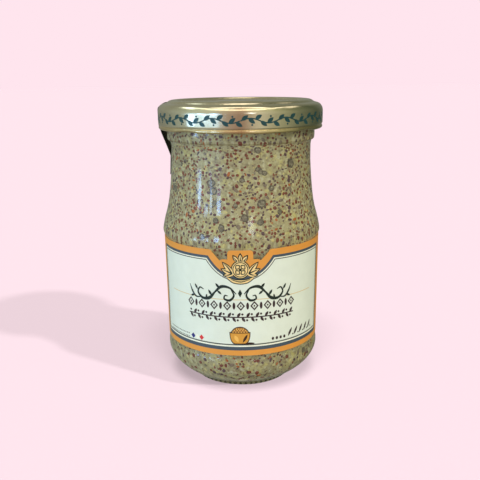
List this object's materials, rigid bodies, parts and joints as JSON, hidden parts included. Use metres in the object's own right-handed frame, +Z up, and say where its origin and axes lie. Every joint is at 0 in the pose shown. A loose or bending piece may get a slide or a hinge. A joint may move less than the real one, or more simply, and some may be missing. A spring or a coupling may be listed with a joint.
{
  "type": "mustard jar",
  "caption": "Waisted glass jar filled with grain mustard, closed by a twist-off metal lid with a paper seal, and wrapped in a die-cut paper label.",
  "frame": {"origin": "centre of the jar's foot, at the level it stands on", "axes": "+Z up along the jar's axis, the front of the label faces -Y, +X to the right seen from the front"},
  "size_m": [0.0607, 0.0604, 0.1049],
  "materials": {
    "glass": "clear polished glass",
    "mustard": "coarse moist paste with bran and seed specks",
    "lid_metal": "pale gold lacquered tinplate, satin",
    "label_paper": "coated paper printed in orange, slate and green",
    "seal_paper": "thin dark paper"
  },
  "bodies": {
    "root": {"jar": "glass", "mustard": "mustard", "lid": "lid_metal", "label": "label_paper", "seal": "seal_paper"}
  },
  "joints": []
}
